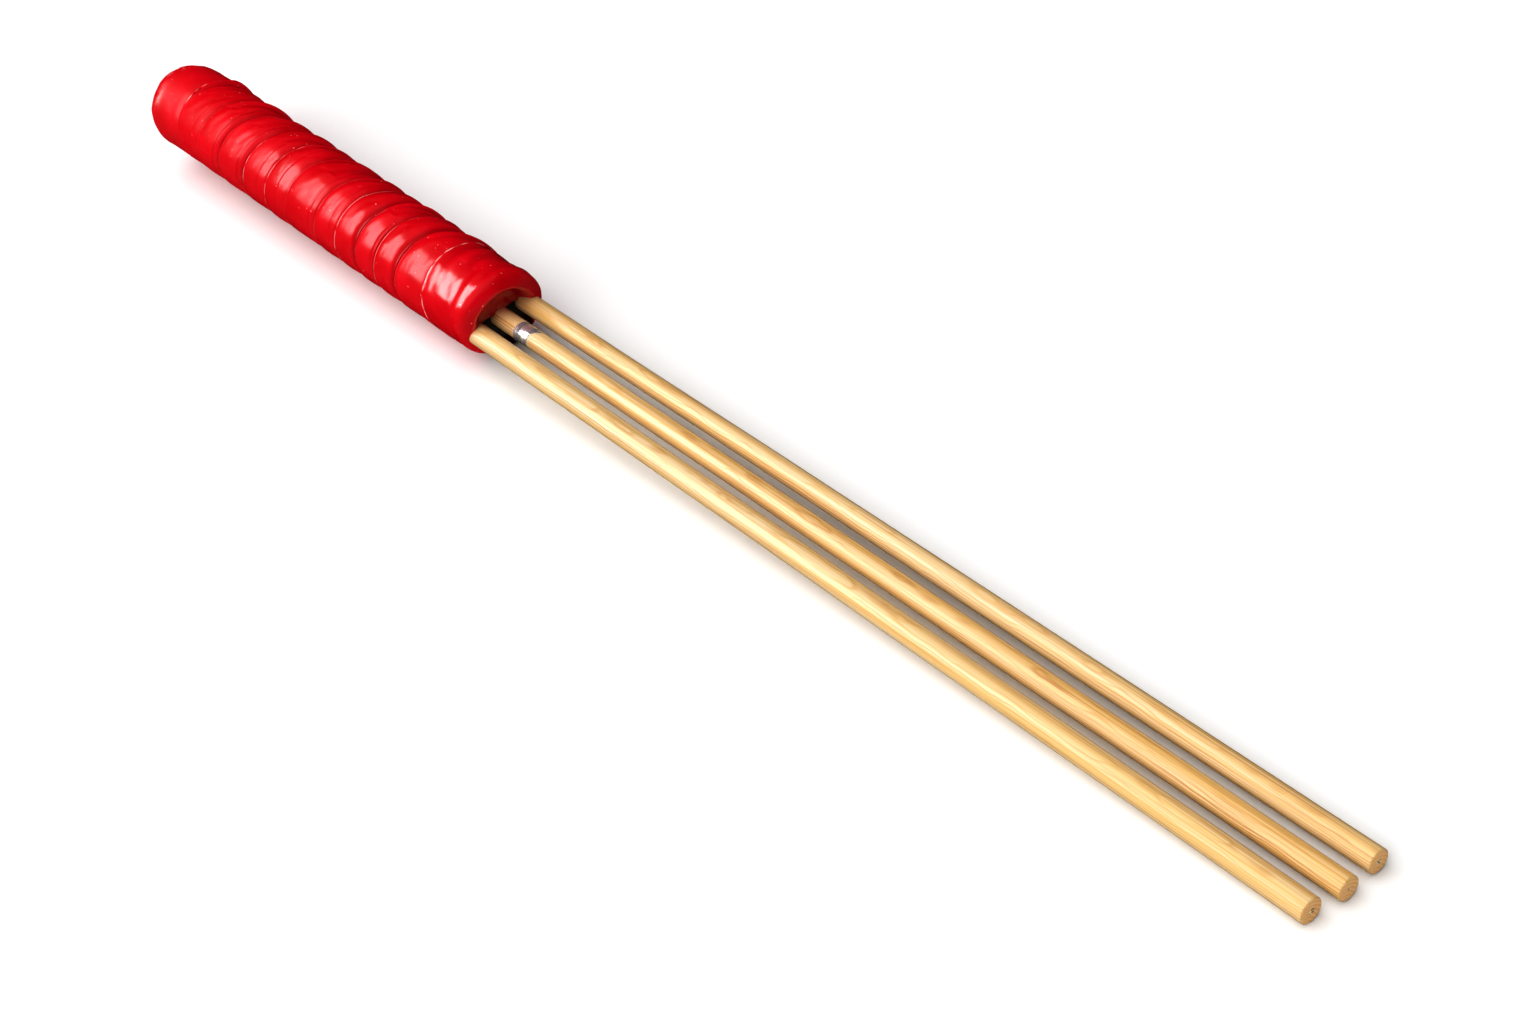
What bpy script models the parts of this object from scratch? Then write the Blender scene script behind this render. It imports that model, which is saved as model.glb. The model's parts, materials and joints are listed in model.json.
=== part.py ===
"""Focus training sticks: three parallel wooden rods held in one padded grip wound with tape.

Units are metres. +X runs along the grip's axis towards the free ends of the rods, +Y runs
across the row of rods and +Z is up. The origin is under the middle of the whole object, at the
height of the surface that the grip lies on. Stations along the grip are measured from its
mouth, the face that the rods come out of: the grip lies at negative stations.
"""

import math

import bmesh
import bpy
from mathutils import Matrix, Vector

MM = 0.001
GAP = 0.3 * MM

# Rods
ROD_RADIUS = 4.0 * MM
FRONT_ROD_RADIUS = 4.3 * MM
ROD_REACH = 412 * MM
FRONT_ROD_SHORTFALL = 2.7 * MM
ROD_SPACING_AT_MOUTH = 11.55 * MM
ROD_SPACING_AT_TIPS = 11.95 * MM
ROW_DROP = 2.5 * MM
ROD_END_CHAMFER = 0.4 * MM
ROD_INNER_END = -238 * MM

# Grip, outside
GRIP_LENGTH = 260 * MM
GRIP_RADIUS_AT_MOUTH = 18.2 * MM
GRIP_RADIUS_AT_BUTT = 18.9 * MM
COLLAR_LENGTH = 26.6 * MM
COLLAR_WALL = 1.5 * MM
COLLAR_RIM_RADIUS = 1.8 * MM
FACE_THICKNESS = 1.2 * MM
CAP_LENGTH = 33 * MM
CAP_WALL = 1.2 * MM
CAP_END_DEPTH = 17 * MM
CAP_END_INSET = 6.5 * MM
CAP_FLAT_RADIUS = 9 * MM
CAP_DOME_HEIGHT = 1.2 * MM

# Tape winding
TAPE_PITCH = 18.5 * MM
TAPE_WIDTH = 22 * MM
TAPE_THICKNESS = 0.5 * MM
TAPE_STEP = 0.8 * MM

# Grip, inside
PADDING_DEPTH = 1.8 * MM
PLUG_CLEARANCE = 2.2 * MM
FRONT_PLUG_LENGTH = 12 * MM
BUTT_PLUG_LENGTH = 20 * MM
LASHING_STATIONS = {"lashing_front": -45 * MM, "lashing_middle": -125 * MM, "lashing_rear": -215 * MM}
LASHING_WIDTH = 10 * MM
LASHING_THICKNESS = 0.35 * MM
SPACER_HEIGHT = 8 * MM

# Foil band on the middle rod
FOIL_STATION = 14 * MM
FOIL_LENGTH = 8.6 * MM
FOIL_THICKNESS = 0.25 * MM

ROUND_STEPS = 48
ROD_STEPS = 32
CORNER_STEPS = 6

TOTAL_LENGTH = GRIP_LENGTH + ROD_REACH
MOUTH_X = GRIP_LENGTH - TOTAL_LENGTH / 2
AXIS_Z = GRIP_RADIUS_AT_BUTT
ROW_Z = AXIS_Z - ROW_DROP
BINDING_HALF_HEIGHT = FRONT_ROD_RADIUS + GAP
ALONG_X = Matrix.Rotation(math.pi / 2, 4, "Y")


def clear_scene():
    for obj in list(bpy.data.objects):
        bpy.data.objects.remove(obj)


def new_collection(name):
    collection = bpy.data.collections.new(name)
    bpy.context.scene.collection.children.link(collection)
    return collection


def material(name, colour, roughness, metallic=0.0):
    mat = bpy.data.materials.new(name)
    mat.use_nodes = True
    shader = mat.node_tree.nodes["Principled BSDF"]
    shader.inputs["Base Color"].default_value = (*colour, 1.0)
    shader.inputs["Roughness"].default_value = roughness
    shader.inputs["Metallic"].default_value = metallic
    return mat


def add_object(name, bm, collection, mat, matrix=None):
    """Turns a bmesh into a smooth-shaded object, with its place in its matrix."""
    mesh = bpy.data.meshes.new(name)
    bmesh.ops.recalc_face_normals(bm, faces=bm.faces)
    bm.to_mesh(mesh)
    bm.free()
    mesh.shade_smooth()
    mesh.set_sharp_from_angle(angle=math.radians(35))
    obj = bpy.data.objects.new(name, mesh)
    obj.matrix_world = matrix if matrix else Matrix.Identity(4)
    collection.objects.link(obj)
    if mat:
        mesh.materials.append(mat)
    return obj


def add_cutter(name, bm, matrix=None):
    cutter = add_object(name, bm, cutters, None, matrix)
    cutter.hide_render = True
    cutter.display_type = "WIRE"
    return cutter


def cut(obj, cutter):
    boolean = obj.modifiers.new("cut_" + cutter.name, "BOOLEAN")
    boolean.operation = "DIFFERENCE"
    boolean.solver = "EXACT"
    boolean.object = cutter


def cylinder(radius, length, steps):
    """A capped cylinder along Z, centred on the origin."""
    bm = bmesh.new()
    bmesh.ops.create_cone(
        bm, cap_ends=True, segments=steps, radius1=radius, radius2=radius, depth=length
    )
    return bm


def box(size):
    bm = bmesh.new()
    bmesh.ops.create_cube(bm, size=1.0, matrix=Matrix.Diagonal((*size, 1.0)))
    return bm


def grip_radius(station):
    """Outer radius of the grip, which is slightly fuller at the butt than at the mouth."""
    share = -station / GRIP_LENGTH
    return GRIP_RADIUS_AT_MOUTH + (GRIP_RADIUS_AT_BUTT - GRIP_RADIUS_AT_MOUTH) * share


def rod_spacing(station):
    share = station / ROD_REACH
    return ROD_SPACING_AT_MOUTH + (ROD_SPACING_AT_TIPS - ROD_SPACING_AT_MOUTH) * share


def on_grip_axis(station):
    """Places local +Z along the grip's axis, with the local origin at the station."""
    return Matrix.Translation((MOUTH_X + station, 0, AXIS_Z)) @ ALONG_X


def turned(name, profile, mat):
    """A solid turned about the grip's axis from (station, radius) points, outer side first."""
    bm = bmesh.new()
    points = [bm.verts.new((radius, 0, station)) for station, radius in profile]
    for first, second in zip(points, points[1:] + points[:1]):
        if first.co.x > 0 or second.co.x > 0:
            bm.edges.new((first, second))
    mesh = bpy.data.meshes.new(name)
    bm.to_mesh(mesh)
    bm.free()
    obj = bpy.data.objects.new(name, mesh)
    obj.matrix_world = on_grip_axis(0)
    parts.objects.link(obj)
    mesh.materials.append(mat)
    screw = obj.modifiers.new("turn", "SCREW")
    screw.axis = "Z"
    screw.angle = math.tau
    screw.steps = ROUND_STEPS
    screw.render_steps = ROUND_STEPS
    screw.use_merge_vertices = True
    screw.merge_threshold = 0.01 * MM
    screw.use_smooth_shade = True
    return obj


def rod_matrix(side, station):
    """Places local +Z along a rod's own axis. The rods spread slightly towards their tips."""
    spread = math.atan((ROD_SPACING_AT_TIPS - ROD_SPACING_AT_MOUTH) / ROD_REACH)
    place = Matrix.Translation((MOUTH_X + station, side * rod_spacing(station), ROW_Z))
    return place @ Matrix.Rotation(side * spread, 4, "Z") @ ALONG_X


def make_rod(name, side, radius, tip):
    length = tip - ROD_INNER_END
    middle = (tip + ROD_INNER_END) / 2
    obj = add_object(name, cylinder(radius, length, ROD_STEPS), parts, wood, rod_matrix(side, middle))
    bevel = obj.modifiers.new("end_chamfer", "BEVEL")
    bevel.width = ROD_END_CHAMFER
    bevel.segments = 2
    bevel.limit_method = "ANGLE"
    bevel.angle_limit = math.radians(40)
    return obj


def rod_channel(name, side, radius, first, last):
    """A cutter that leaves the usual gap around one rod between two stations."""
    bm = cylinder(radius + GAP, last - first, ROD_STEPS)
    return add_cutter(name, bm, rod_matrix(side, (first + last) / 2))


def make_foil_band():
    """A short thin sleeve around the middle rod, just outside the mouth."""
    bm = bmesh.new()
    radius = ROD_RADIUS + GAP + FOIL_THICKNESS
    bmesh.ops.create_cone(
        bm, cap_ends=False, segments=ROD_STEPS, radius1=radius, radius2=radius, depth=FOIL_LENGTH
    )
    obj = add_object("foil_band", bm, parts, foil, rod_matrix(0, FOIL_STATION + FOIL_LENGTH / 2))
    wall = obj.modifiers.new("wall", "SOLIDIFY")
    wall.thickness = FOIL_THICKNESS
    wall.offset = -1.0
    return obj


def quarter_round(station, radius, along, out):
    """Points of an elliptic quarter about (station, radius), from its inner side to its outer side."""
    points = []
    for step in range(CORNER_STEPS + 1):
        angle = math.pi / 2 * (1 - step / CORNER_STEPS)
        points.append((station + along * math.sin(angle), radius + out * math.cos(angle)))
    return points


def make_front_collar(channels):
    """The last wide turn of tape, folded over the mouth and closed around the rods."""
    rear = -COLLAR_LENGTH
    outer = grip_radius(0)
    rim_centre = (-COLLAR_RIM_RADIUS, outer - COLLAR_RIM_RADIUS)
    rim = quarter_round(*rim_centre, along=COLLAR_RIM_RADIUS, out=COLLAR_RIM_RADIUS)
    profile = [(0, 0)] + rim + [(rear, grip_radius(rear)), (rear, grip_radius(rear) - COLLAR_WALL)]
    profile += [(-FACE_THICKNESS, outer - COLLAR_WALL), (-FACE_THICKNESS, 0)]
    collar = turned("front_collar", profile, red_tape)
    for channel in channels:
        cut(collar, channel)
    return collar


def rounded_end(end, radius):
    """Half outline of the rounded butt, from the flat in the middle of its end to its side."""
    corner = quarter_round(
        end + CAP_END_DEPTH, radius - CAP_END_INSET,
        along=CAP_DOME_HEIGHT - CAP_END_DEPTH, out=CAP_END_INSET,
    )
    return [(end, 0), (end, CAP_FLAT_RADIUS)] + corner


def make_butt_cap():
    """Tape folded over the butt: a cup with a rounded end and a small flat in the middle."""
    end = -GRIP_LENGTH
    open_edge = end + CAP_LENGTH
    outside = rounded_end(end, grip_radius(end))
    inside = rounded_end(end + CAP_WALL, grip_radius(end) - CAP_WALL)
    lip = [(open_edge, grip_radius(open_edge) - CAP_WALL), (open_edge, grip_radius(open_edge))]
    return turned("butt_cap", inside + lip + outside[::-1], red_tape)


def make_butt_plug():
    """A soft plug that fills the rounded end behind the rods."""
    end = -GRIP_LENGTH + CAP_WALL + GAP
    radius = grip_radius(end) - CAP_WALL - GAP
    front = end + BUTT_PLUG_LENGTH
    return turned("butt_plug", [(front, 0), (front, radius)] + rounded_end(end, radius)[::-1], foam)


def make_front_plug(channels):
    """A disc behind the mouth. The outer rods run in notches that are open at its edge."""
    front = -FACE_THICKNESS - GAP
    rear = front - FRONT_PLUG_LENGTH
    radius = grip_radius(0) - PLUG_CLEARANCE
    plug = turned("front_plug", [(front, 0), (front, radius), (rear, radius), (rear, 0)], foam)
    for channel in channels:
        cut(plug, channel)
    return plug


def make_padding(name, upper, grooves):
    """One half of the padding: a slightly tapered round block with a flat that bears on the rods."""
    front = -FACE_THICKNESS - FRONT_PLUG_LENGTH - 2 * GAP
    rear = -GRIP_LENGTH + CAP_WALL + BUTT_PLUG_LENGTH + 2 * GAP
    length = front - rear
    bm = bmesh.new()
    bmesh.ops.create_cone(
        bm, cap_ends=True, segments=ROUND_STEPS, depth=length,
        radius1=grip_radius(rear) - PADDING_DEPTH, radius2=grip_radius(front) - PADDING_DEPTH,
    )
    obj = add_object(name, bm, parts, foam, on_grip_axis((front + rear) / 2))
    side = 1 if upper else -1
    removed = 4 * GRIP_RADIUS_AT_BUTT
    flat_z = ROW_Z + side * BINDING_HALF_HEIGHT
    place = Matrix.Translation((MOUTH_X + (front + rear) / 2, 0, flat_z - side * removed / 2))
    cut(obj, add_cutter(name + "_flat", box((length * 1.2, removed, removed)), place))
    for groove in grooves:
        cut(obj, groove)
    return obj


def lashing_groove(name, station):
    """A cutter that makes room for one lashing in both halves of the padding."""
    half_height = BINDING_HALF_HEIGHT + LASHING_THICKNESS + GAP
    size = (LASHING_WIDTH + 2 * GAP, 4 * GRIP_RADIUS_AT_BUTT, 2 * half_height)
    return add_cutter(name + "_groove", box(size), Matrix.Translation((MOUTH_X + station, 0, ROW_Z)))


def make_lashing(name, station):
    """A band of thin tape bound around the row of rods: a loop with two straight runs."""
    bm = bmesh.new()
    loop = []
    half_steps = ROD_STEPS // 2
    for side in (1, -1):
        for step in range(half_steps + 1):
            angle = math.pi * step / half_steps - math.pi / 2
            y = side * (rod_spacing(station) + BINDING_HALF_HEIGHT * math.cos(angle))
            loop.append(bm.verts.new((-LASHING_WIDTH / 2, y, side * BINDING_HALF_HEIGHT * math.sin(angle))))
    edges = [bm.edges.new(pair) for pair in zip(loop, loop[1:] + loop[:1])]
    far = bmesh.ops.extrude_edge_only(bm, edges=edges)
    far_points = [item for item in far["geom"] if isinstance(item, bmesh.types.BMVert)]
    bmesh.ops.translate(bm, verts=far_points, vec=Vector((LASHING_WIDTH, 0, 0)))
    obj = add_object(name, bm, parts, binding, Matrix.Translation((MOUTH_X + station, 0, ROW_Z)))
    wall = obj.modifiers.new("wall", "SOLIDIFY")
    wall.thickness = LASHING_THICKNESS
    wall.offset = 1.0
    return obj


def make_spacer(name, side, channels):
    """A strip between two rods, with its sides hollowed to sit against them."""
    front = -FACE_THICKNESS - FRONT_PLUG_LENGTH - 2 * GAP
    rear = ROD_INNER_END
    station = (front + rear) / 2
    half_space = rod_spacing(station) / 2
    bm = box((front - rear, 2 * half_space, SPACER_HEIGHT))
    obj = add_object(name, bm, parts, foam, Matrix.Translation((MOUTH_X + station, side * half_space, ROW_Z)))
    for channel in channels:
        cut(obj, channel)
    return obj


def end_trimmer(name, inner_station, outer_station):
    """A cutter that trims the winding square at one end."""
    size = (outer_station - inner_station, 4 * GRIP_RADIUS_AT_BUTT, 4 * GRIP_RADIUS_AT_BUTT)
    place = Matrix.Translation((MOUTH_X + (inner_station + outer_station) / 2, 0, AXIS_Z))
    return add_cutter(name, box([abs(side) for side in size]), place)


def make_grip_tape():
    """The winding: one long strip whose every turn lies over the edge of the one behind it.

    It is wound past both of its ends and trimmed square where the cap and the collar begin.
    """
    rear = -GRIP_LENGTH + CAP_LENGTH + GAP
    front = -COLLAR_LENGTH - GAP
    first = rear - TAPE_WIDTH / 2
    last = front + TAPE_WIDTH / 2
    turns = (last - first) / TAPE_PITCH
    steps = round(turns * ROUND_STEPS)
    rise = TAPE_STEP * TAPE_WIDTH / TAPE_PITCH
    base = GRIP_RADIUS_AT_MOUTH - rise - TAPE_THICKNESS
    section = [(-0.5, rise), (0.5, 0.0), (0.5, TAPE_THICKNESS), (-0.5, rise + TAPE_THICKNESS)]
    bm = bmesh.new()
    corners = [bm.verts.new((first + share * TAPE_WIDTH, 0, base + height)) for share, height in section]
    strip = bm.faces.new(corners)
    bmesh.ops.spin(
        bm, geom=[strip] + strip.edges[:] + corners, cent=(0, 0, 0), axis=(-1, 0, 0),
        dvec=((last - first) / steps, 0, 0), angle=math.tau * turns, steps=steps,
        use_duplicate=False,
    )
    for vert in bm.verts:
        fuller = grip_radius(vert.co.x) / GRIP_RADIUS_AT_MOUTH
        vert.co.y *= fuller
        vert.co.z *= fuller
    obj = add_object("grip_tape", bm, parts, red_tape, Matrix.Translation((MOUTH_X, 0, AXIS_Z)))
    cut(obj, end_trimmer("rear_trimmer", rear, rear - 2 * TAPE_WIDTH))
    cut(obj, end_trimmer("front_trimmer", front, front + 2 * TAPE_WIDTH))
    return obj


clear_scene()
parts = new_collection("focus_training_sticks")
cutters = new_collection("cutters")

wood = material("varnished_wood", (0.87, 0.58, 0.25), 0.25)
red_tape = material("red_tape", (0.82, 0.01, 0.015), 0.22)
foam = material("foam", (0.05, 0.05, 0.055), 0.85)
binding = material("binding_tape", (0.75, 0.72, 0.62), 0.55)
foil = material("foil", (0.78, 0.79, 0.80), 0.2, 1.0)

rods = {
    "front": (-1, FRONT_ROD_RADIUS, ROD_REACH - FRONT_ROD_SHORTFALL),
    "middle": (0, ROD_RADIUS, ROD_REACH),
    "back": (1, ROD_RADIUS, ROD_REACH),
}
mouth_channels = []
core_channels = {}
for rod_name, (rod_side, rod_radius, rod_tip) in rods.items():
    make_rod("rod_" + rod_name, rod_side, rod_radius, rod_tip)
    mouth_channels.append(
        rod_channel(rod_name + "_mouth_channel", rod_side, rod_radius, -2 * COLLAR_LENGTH, COLLAR_LENGTH)
    )
    core_channels[rod_name] = rod_channel(
        rod_name + "_core_channel", rod_side, rod_radius, -GRIP_LENGTH, COLLAR_LENGTH
    )

make_foil_band()
make_front_collar(mouth_channels)
make_front_plug(mouth_channels)
make_grip_tape()
make_butt_cap()
make_butt_plug()
make_spacer("spacer_front", -1, (core_channels["front"], core_channels["middle"]))
make_spacer("spacer_back", 1, (core_channels["back"], core_channels["middle"]))
lashing_grooves = []
for lashing_name, lashing_station in LASHING_STATIONS.items():
    make_lashing(lashing_name, lashing_station)
    lashing_grooves.append(lashing_groove(lashing_name, lashing_station))
make_padding("padding_upper", True, lashing_grooves)
make_padding("padding_lower", False, lashing_grooves)
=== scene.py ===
"""Looks of the focus training sticks: tape-wound grip, varnished rods, studio floor and lights.

Units are metres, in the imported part's frame: +X runs along the grip's axis towards the free ends
of the rods and +Z is up. Angles round the grip start at its top and grow towards +Y.
"""

import json
import math

import bmesh
import bpy
import numpy as np
from mathutils import Matrix, Vector, noise


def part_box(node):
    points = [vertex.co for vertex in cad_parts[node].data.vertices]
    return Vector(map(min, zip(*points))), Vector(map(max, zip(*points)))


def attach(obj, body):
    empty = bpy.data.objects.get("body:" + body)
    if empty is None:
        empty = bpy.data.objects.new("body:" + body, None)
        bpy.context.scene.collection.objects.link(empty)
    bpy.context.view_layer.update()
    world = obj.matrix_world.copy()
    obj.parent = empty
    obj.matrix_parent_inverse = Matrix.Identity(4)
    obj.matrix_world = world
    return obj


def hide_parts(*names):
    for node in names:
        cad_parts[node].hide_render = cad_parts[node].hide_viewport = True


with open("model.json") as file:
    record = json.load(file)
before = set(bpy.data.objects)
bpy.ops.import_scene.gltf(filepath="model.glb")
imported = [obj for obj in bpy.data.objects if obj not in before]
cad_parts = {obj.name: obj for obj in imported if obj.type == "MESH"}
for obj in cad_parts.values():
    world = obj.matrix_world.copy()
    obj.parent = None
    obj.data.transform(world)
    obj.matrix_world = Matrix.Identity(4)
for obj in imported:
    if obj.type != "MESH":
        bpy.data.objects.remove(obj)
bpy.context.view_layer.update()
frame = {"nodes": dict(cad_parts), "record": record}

MM = 0.001

# Places read from the frame
COLLAR_LOW, COLLAR_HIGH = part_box("front_collar")
CAP_LOW, CAP_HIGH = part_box("butt_cap")
MOUTH_X = COLLAR_HIGH.x
COLLAR_REAR_X = COLLAR_LOW.x
CAP_FRONT_X = CAP_HIGH.x
BUTT_X = CAP_LOW.x
AXIS_Y = (COLLAR_LOW.y + COLLAR_HIGH.y) / 2
AXIS_Z = (COLLAR_LOW.z + COLLAR_HIGH.z) / 2
BUTT_RADIUS = (CAP_HIGH.z - CAP_LOW.z) / 2
MOUTH_RADIUS = (COLLAR_HIGH.z - COLLAR_LOW.z) / 2
AXIS_AT_MOUTH = Vector((MOUTH_X, AXIS_Y, AXIS_Z))
ROD_NODES = ("rod_front", "rod_middle", "rod_back")

# Tape winding. The lists run from the butt to the mouth, one entry per seam or per turn.
# Gaps, dips, creases and depths are in millimetres, and the pale and dark seam lines run from 0 to 1. The
# turns' widths are in millimetres too, and are scaled to fill the length from cap to collar. Each pale
# line is partly pale pulled tape and partly a painted glint on the edge. Each dark line is painted shade
# in the crease where one turn laps over the next.
TAPE_THICKNESS = 0.28 * MM
TAPE_SINK = 0.45 * MM
TAPE_TUCK = 4 * MM
TURN_WIDTHS = (20.6, 18.6, 21.4, 19.0, 17.0, 24.0, 16.0, 15.0, 15.0, 15.0, 19.4)
SEAM_DIPS = (0.05, 0.12, 0.8, 0.9, 0.2, 0.15, 0.35, 0.2, 0.85, 0.3, 0.85, 0.1)
SEAM_CREASES = (0.1, 0.2, 1.0, 1.1, 0.4, 0.15, 0.5, 0.4, 1.2, 0.6, 1.2, 0.15)
SECOND_LINE_GAPS = (5.0, 6.0, 4.6, 4.6, 7.0, 8.0, 5.0, 5.0, 1.9, 2.5, 1.9, 5.0)
SECOND_LINE_DEPTHS = (0.0, 0.08, 0.15, 0.4, 0.1, 0.12, 0.35, 0.3, 0.6, 0.45, 0.6, 0.0)
SEAM_PALLOR_AND_GLINT = (0.0, 0.1, 0.2, 1.0, 0.6, 0.1, 0.3, 0.7, 0.35, 0.5, 0.2, 0.0)
SEAM_SHADE = (0.0, 0.25, 1.0, 0.9, 0.45, 0.3, 0.6, 0.4, 1.0, 0.6, 1.0, 0.2)
SEAM_ANGLE = math.radians(-36)
LOOSE_SIDE = math.radians(75)
LOWEST_TAPE = 1.7 * MM
# The seams lean this far out of a true helix, more near the butt than near the mouth.
LEAN_AT_BUTT = 2.8 * MM
LEAN_AT_MOUTH = 0.4 * MM
# The winding lies deepest on its loose side, but not this close to the cap and the collar.
SUPPORTED_LENGTH = 12 * MM
AROUND = 160
# The winding runs on this far below the cap and the collar, and lies this much lower there.
TAPE_OVERRUN = 3 * MM
COVERED_DROP = 1.4 * MM
# The hand has dulled the tape fully over the first length from the cap, and partly over the second.
FULLY_WORN_LENGTH = 10 * MM
WORN_LENGTH = 90 * MM
# Distances from a tape edge, in millimetres, at which its cross-section has a point.
EDGE_STATIONS = (0, 0.06, 0.14, 0.26, 0.42, 0.65, 0.95, 1.35, 1.9, 2.6)
MIDDLE_STATIONS = 24


def smooth_step(low, high, value):
    share = np.clip((value - low) / (high - low), 0.0, 1.0)
    return share * share * (3 - 2 * share)


def grip_radius(x):
    """Outer radius of the grip in the frame, which tapers slightly from butt to mouth."""
    share = (x - BUTT_X) / (MOUTH_X - BUTT_X)
    return BUTT_RADIUS + (MOUTH_RADIUS - BUTT_RADIUS) * share


def on_grip(x, angle, radius):
    return (x, AXIS_Y + radius * math.sin(angle), AXIS_Z + radius * math.cos(angle))


def wobble(x, y, z, size, seed=0.0):
    """Smooth noise from about -1 to 1. size is the distance over which it changes."""
    return noise.noise(Vector((x / size + seed, y / size - seed, z / size + 2 * seed)))


def add_mesh(name, points, faces, **attributes):
    """A smooth-shaded mesh object. Each attribute holds one number per point for the materials."""
    mesh = bpy.data.meshes.new(name)
    mesh.from_pydata([tuple(point) for point in points], [], faces)
    for key, values in attributes.items():
        layer = mesh.attributes.new(key, "FLOAT", "POINT")
        layer.data.foreach_set("value", np.asarray(values, np.float32))
    mesh.shade_smooth()
    obj = bpy.data.objects.new(name, mesh)
    bpy.context.scene.collection.objects.link(obj)
    return obj


def grid_faces(rows, columns, wrap_rows=False, wrap_columns=True):
    """Quads over a grid of rows by columns whose points are numbered row by row."""
    faces = []
    for row in range(rows if wrap_rows else rows - 1):
        below = (row + 1) % rows * columns
        for column in range(columns if wrap_columns else columns - 1):
            beside = (column + 1) % columns
            faces.append((row * columns + column, row * columns + beside, below + beside, below + column))
    return faces


def outward(obj):
    """Turns the faces outwards and returns the object."""
    bm = bmesh.new()
    bm.from_mesh(obj.data)
    bmesh.ops.recalc_face_normals(bm, faces=bm.faces)
    bm.to_mesh(obj.data)
    bm.free()
    return obj


# ---------------------------------------------------------------- tape winding

seam_places = np.concatenate([[0.0], np.cumsum(TURN_WIDTHS)])
seam_places = CAP_FRONT_X + (COLLAR_REAR_X - CAP_FRONT_X) * seam_places / seam_places[-1]


def seam_x(turns):
    """Station of the winding's visible edge after so many turns, smoothly joined from turn to turn."""
    count = len(seam_places)
    index = int(math.floor(turns))
    share = turns - index

    def place(i):
        if i < 0:
            return seam_places[0] + i * (seam_places[1] - seam_places[0])
        if i >= count:
            return seam_places[-1] + (i - count + 1) * (seam_places[-1] - seam_places[-2])
        return seam_places[i]

    a, b, c, d = (place(index + i) for i in (-1, 0, 1, 2))
    slope_b, slope_c = (c - a) / 2, (d - b) / 2
    s2, s3 = share * share, share**3
    return (
        (2 * s3 - 3 * s2 + 1) * b + (s3 - 2 * s2 + share) * slope_b
        + (3 * s2 - 2 * s3) * c + (s3 - s2) * slope_c
    )


def edge_x(turns):
    """Station of the winding's edge after so many turns, with the seams' lean and the tape's wavy cut."""
    x = seam_x(turns)
    share = min(max((x - CAP_FRONT_X) / (COLLAR_REAR_X - CAP_FRONT_X), 0.0), 1.0)
    lean = LEAN_AT_BUTT + (LEAN_AT_MOUTH - LEAN_AT_BUTT) * share
    waves = 0.25 * MM * wobble(turns * 3, 0, 0, 1.0, 5.5) + 0.08 * MM * wobble(turns * 14, 0, 0, 1.0, 9.5)
    return x + lean * math.sin(math.tau * turns) + waves


def per_seam(values, turns):
    """The list's value for the seam at so many turns. It changes over on the grip's underside."""
    place = min(max(turns, 0.0), len(values) - 1.001)
    index = int(place)
    share = smooth_step(0.35, 0.65, place - index)
    return values[index] * (1 - share) + values[index + 1] * share


def loose_side(angle):
    """1 on the side where the tape was pulled least, 0 opposite."""
    return (0.5 + 0.5 * math.cos(angle - LOOSE_SIDE)) ** 2.2


def dent(distance, reach):
    return math.exp(-((distance / reach) ** 2))


def tape_base(x, across, width, angle, turns):
    """(radius, painted shade) of a turn's outer face, without the tape's own thickness."""
    y, z = math.sin(angle) * MOUTH_RADIUS, math.cos(angle) * MOUTH_RADIUS
    share = min(max(across / width, 0.0), 1.0)
    loose = loose_side(angle)
    bulge = (0.28 + 1.5 * loose) * math.sin(math.pi * share**0.8) ** 0.8
    near, far = across, width - across
    dip = per_seam(SEAM_DIPS, turns) * dent(near, 1.3 * MM)
    dip += (per_seam(SEAM_DIPS, turns + 1) + 0.6 * loose) * dent(far, 2.4 * MM)
    crease = (per_seam(SEAM_CREASES, turns + 1) + 0.3 * loose) * dent(far, 1.0 * MM)
    line_place = far - per_seam(SECOND_LINE_GAPS, turns + 1) * MM
    line = per_seam(SECOND_LINE_DEPTHS, turns + 1) * dent(line_place, 0.45 * MM)
    line -= 0.5 * per_seam(SECOND_LINE_DEPTHS, turns + 1) * dent(line_place + 0.9 * MM, 0.6 * MM)
    slide = across - 0.34 * MOUTH_RADIUS * (angle % math.tau)
    layer = turns // 1 * 5 * MM
    inside = smooth_step(0.0, SUPPORTED_LENGTH, x - CAP_FRONT_X)
    inside *= smooth_step(0.0, SUPPORTED_LENGTH, COLLAR_REAR_X - x)
    fold = (0.05 + 1.15 * loose) * wobble(slide, y * 0.12, z * 0.12 + layer, 4.6 * MM, 2.2)
    ripple = 0.10 * wobble(x, y, z, 9 * MM, 3.1)
    pull = 0.03 * wobble(across, angle * 6 * MM, layer * 1.8, 1.6 * MM, 7.7)
    sag = (0.5 + 0.75 * inside) * loose
    relief = (bulge + ripple + pull + fold - dip - crease - line - sag) * MM - TAPE_SINK
    # Painted shade: the creases at the seams and the folds' valleys on the loose side are darkened.
    grime = per_seam(SEAM_SHADE, turns + 1) * (dent(far, 0.9 * MM) + 0.3 * dent(line_place, 0.4 * MM))
    grime += loose * (0.5 * dent(far, 2.6 * MM) + 0.8 * max(-fold, 0.0))
    return grip_radius(x) + max(relief, -LOWEST_TAPE), min(grime, 0.85)


def under_cover(x):
    """How far the winding is tucked in below the cap and the collar, from 0 to 1."""
    past_cap = smooth_step(0.0, 1.2 * MM, CAP_FRONT_X + 0.3 * MM - x)
    past_collar = smooth_step(0.0, 1.2 * MM, x - COLLAR_REAR_X + 0.3 * MM)
    return max(past_cap, past_collar)


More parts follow.
